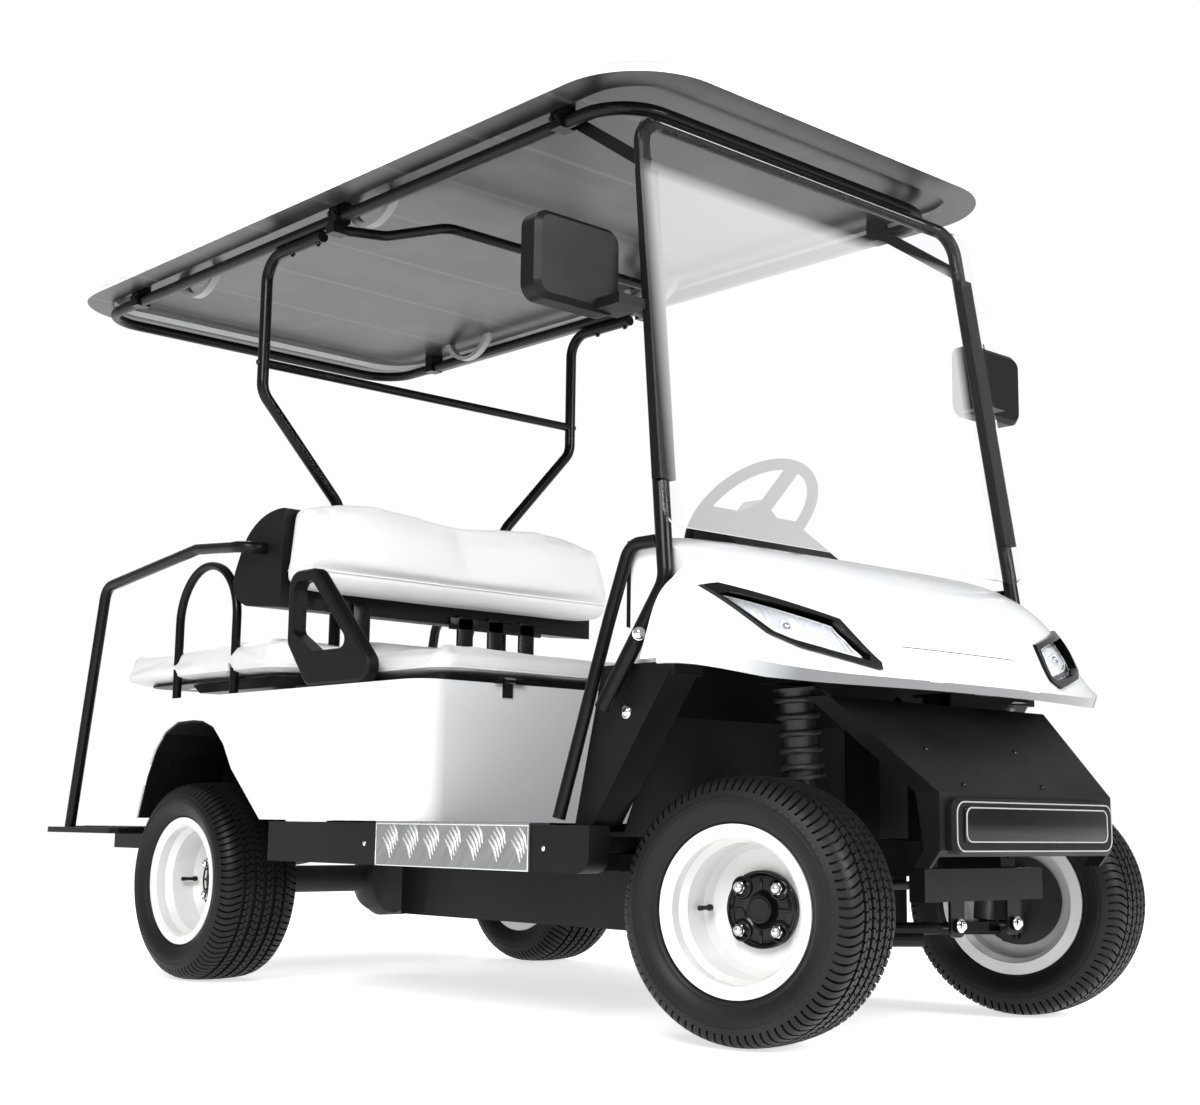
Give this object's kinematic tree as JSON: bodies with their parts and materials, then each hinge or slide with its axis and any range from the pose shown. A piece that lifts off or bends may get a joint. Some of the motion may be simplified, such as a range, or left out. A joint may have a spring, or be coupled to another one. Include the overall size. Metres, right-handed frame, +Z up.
{
  "type": "golf cart",
  "caption": "Electric golf cart with a canopy roof, folding windshield, front bench, rear-facing back bench with handrails and a footrest; steered wheels turn and the front seat lifts.",
  "frame": {"origin": "on the floor under the middle of the whole cart", "axes": "+X to the cart's left, +Y to its rear (it drives towards -Y), +Z up"},
  "size_m": [1.484, 2.738, 1.8409],
  "materials": {
    "black_frame": "semi-gloss black powder coat",
    "spring_steel": "dull dark steel",
    "grey_metal": "dull grey casting",
    "battery_case": "matte dark plastic",
    "black_plastic": "textured black plastic",
    "bright_plate": "bright tread plate",
    "white_body": "gloss white",
    "lamp_black": "gloss dark grey",
    "lamp_lens": "clear",
    "bright_steel": "plated",
    "seat_vinyl": "light grey-white vinyl",
    "white_roof": "gloss white",
    "smoke_lip": "smoked gloss",
    "clear_sheet": "clear acrylic sheet",
    "tyre": "black rubber",
    "white_rim": "gloss white enamel",
    "cap_black": "gloss black"
  },
  "bodies": {
    "cart": {"battery_cradle": "black_frame", "battery_pack": "battery_case", "chassis_frame": "black_frame", "dash": "black_plastic", "door_trims": "black_frame", "floor_pan": "black_plastic", "footrest": "bright_plate", "front_apron": "black_plastic", "front_back_cushion": "seat_vinyl", "front_cowl": "white_body", "front_struts": "spring_steel", "grab_hooks": "black_plastic", "grab_rails": "black_frame", "handrail_hoops": "black_frame", "headlight_housings": "lamp_black", "headlight_lenses": "lamp_lens", "hip_restraints": "black_plastic", "lower_arms": "black_frame", "mirrors": "black_plastic", "overhead_tube": "black_frame", "pedals": "black_plastic", "rear_axle": "grey_metal", "rear_back_cushion": "seat_vinyl", "rear_body": "white_body", "rear_liners": "black_plastic", "rear_seat_cushion": "seat_vinyl", "rear_seat_pan": "black_plastic", "rear_springs": "spring_steel", "rear_struts": "black_frame", "rockers": "black_plastic", "roof_canopy": "white_roof", "roof_frame": "black_frame", "roof_lip": "smoke_lip", "seat_back_shell": "black_plastic", "seat_hinges": "bright_steel", "side_panels": "black_plastic", "steering_column": "black_plastic", "tread_plates": "bright_plate", "windshield_channels": "black_plastic", "windshield_frame": "black_frame", "windshield_glass": "clear_sheet"},
    "knuckle_left": {"knuckle_left": "grey_metal"},
    "knuckle_right": {"knuckle_right": "grey_metal"},
    "tie_rod": {"tie_rod": "spring_steel"},
    "steering_wheel": {"steering_wheel": "black_plastic"},
    "front_seat": {"seat_board": "black_plastic", "front_seat_cushion": "seat_vinyl"},
    "front_left_wheel": {"front_left_tyre": "tyre", "front_left_rim": "white_rim", "front_left_cap": "cap_black"},
    "front_right_wheel": {"front_right_tyre": "tyre", "front_right_rim": "white_rim", "front_right_cap": "cap_black"},
    "rear_left_wheel": {"rear_left_tyre": "tyre", "rear_left_rim": "white_rim", "rear_left_cap": "cap_black"},
    "rear_right_wheel": {"rear_right_tyre": "tyre", "rear_right_rim": "white_rim", "rear_right_cap": "cap_black"}
  },
  "joints": [
    {"name": "steer_right", "type": "hinge", "parent": "cart", "child": "knuckle_right", "pos_m": [-0.356, -1.0675, 0.226], "axis": [0, 0, 1], "range_deg": [-44.3, 15.7]},
    {"name": "steer_left", "type": "hinge", "parent": "cart", "child": "knuckle_left", "pos_m": [0.356, -1.0675, 0.226], "axis": [0, 0, 1], "range_deg": [-44.3, 15.7]},
    {"name": "tie_rod_pivot", "type": "hinge", "parent": "knuckle_right", "child": "tie_rod", "pos_m": [-0.37428, -0.99579, 0.256], "axis": [0, 0, 1], "range_deg": [-15.7, 44.3]},
    {"name": "steering_wheel_turn", "type": "hinge", "parent": "cart", "child": "steering_wheel", "pos_m": [0.205, -0.4925, 1.05], "axis": [0, 0.6691, 0.7431], "range_deg": [-531.6, 188.4]},
    {"name": "seat_lift", "type": "hinge", "parent": "cart", "child": "front_seat", "pos_m": [0, -0.3578, 0.6543], "axis": [1, 0, 0], "range_deg": [0, 70]},
    {"name": "front_left_spin", "type": "hinge", "parent": "knuckle_left", "child": "front_left_wheel", "pos_m": [0.41899, -1.05145, 0.226], "axis": [0.969, 0.247, 0], "continuous": true},
    {"name": "front_right_spin", "type": "hinge", "parent": "knuckle_right", "child": "front_right_wheel", "pos_m": [-0.41899, -1.08355, 0.226], "axis": [0.969, 0.247, 0], "continuous": true},
    {"name": "rear_left_spin", "type": "hinge", "parent": "cart", "child": "rear_left_wheel", "pos_m": [0.5076, 0.5585, 0.226], "axis": [1, 0, 0], "continuous": true},
    {"name": "rear_right_spin", "type": "hinge", "parent": "cart", "child": "rear_right_wheel", "pos_m": [-0.5076, 0.5585, 0.226], "axis": [1, 0, 0], "continuous": true}
  ],
  "couplings": [
    {"joint": "steer_left", "follows": "steer_right", "ratio": 1},
    {"joint": "tie_rod_pivot", "follows": "steer_right", "ratio": -1},
    {"joint": "steering_wheel_turn", "follows": "steer_right", "ratio": 12}
  ]
}
